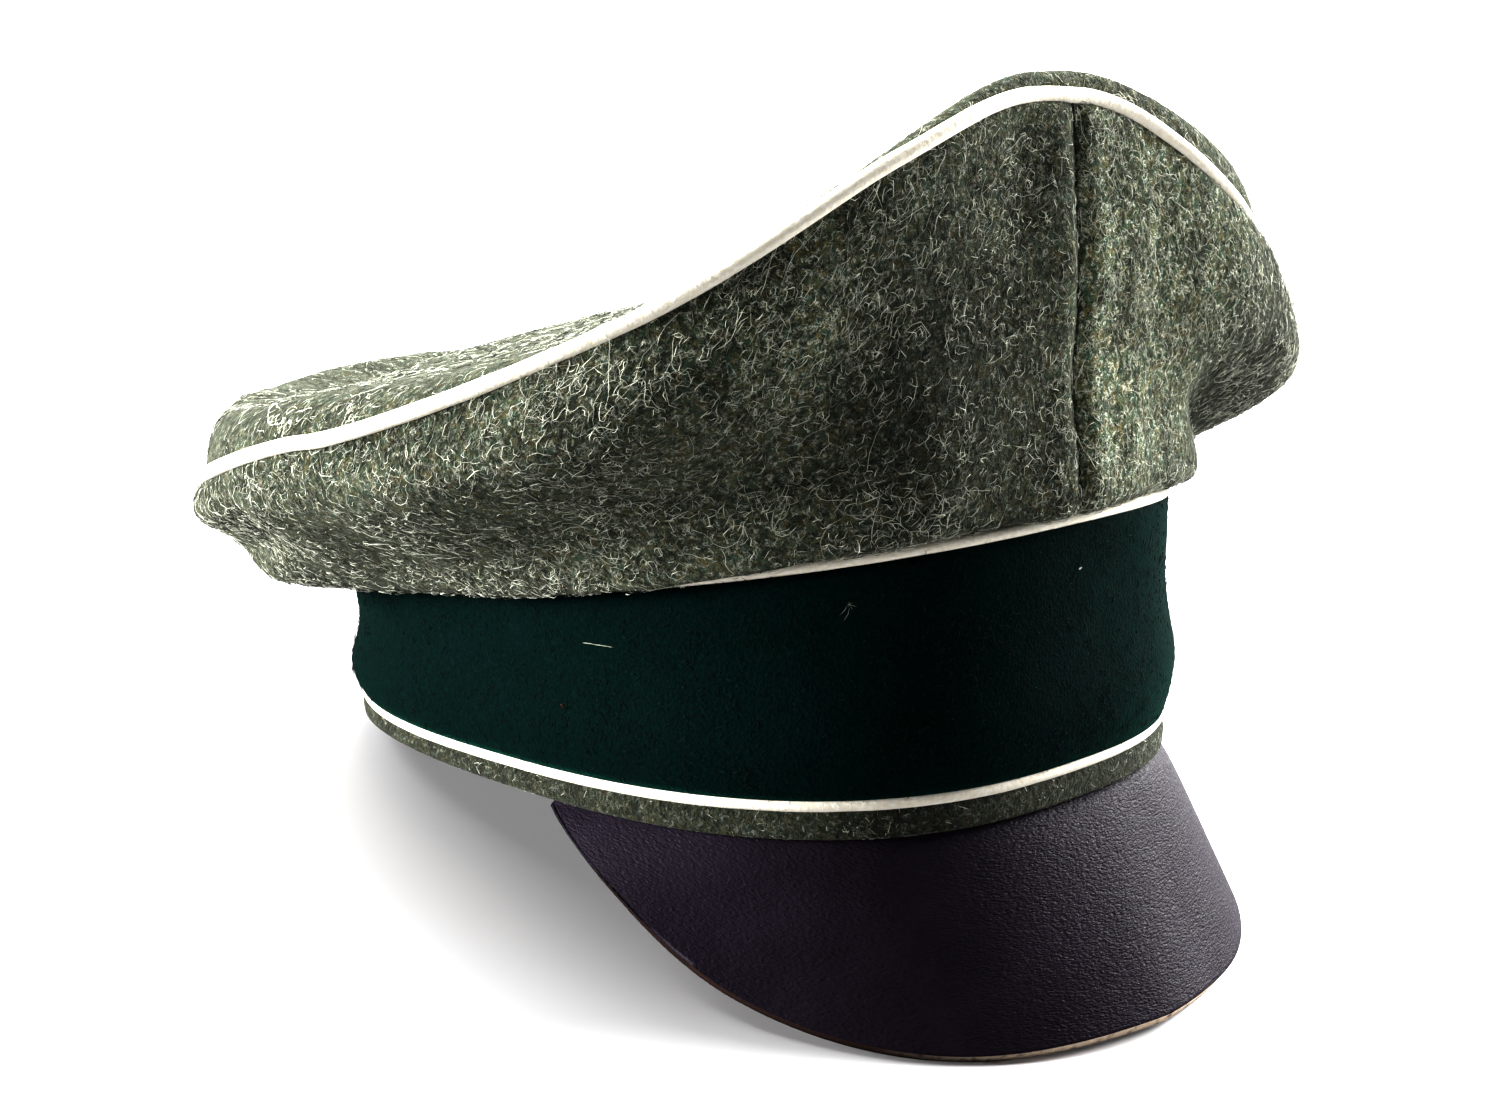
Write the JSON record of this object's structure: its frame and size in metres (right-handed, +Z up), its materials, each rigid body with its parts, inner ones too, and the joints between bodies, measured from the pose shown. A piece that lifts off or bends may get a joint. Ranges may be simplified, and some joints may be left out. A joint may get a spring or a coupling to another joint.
{
  "type": "peaked cap",
  "caption": "Saddle-crowned wool peaked cap with a dark cloth band, white piping and a black leather peak, hollow for the head.",
  "frame": {"origin": "on the surface the cap rests on, under the middle of its bounding box", "axes": "+Z up, -Y towards the front of the cap where the peak is, -X towards the wearer's right"},
  "size_m": [0.257, 0.2828, 0.1927],
  "materials": {
    "wool": "brushed grey-green melange wool with light stray fibres",
    "piping": "matt white wool felt cord",
    "band_cloth": "dense dark green napped cloth",
    "peak_leather": "black finely pebbled leather with a raw tan edge"
  },
  "bodies": {
    "root": {"crown_side_right": "wool", "crown_side_left": "wool", "crown_top": "wool", "crown_piping": "piping", "band_top_piping": "piping", "band": "band_cloth", "band_bottom_piping": "piping", "rim_strip": "wool", "peak": "peak_leather"}
  },
  "joints": []
}
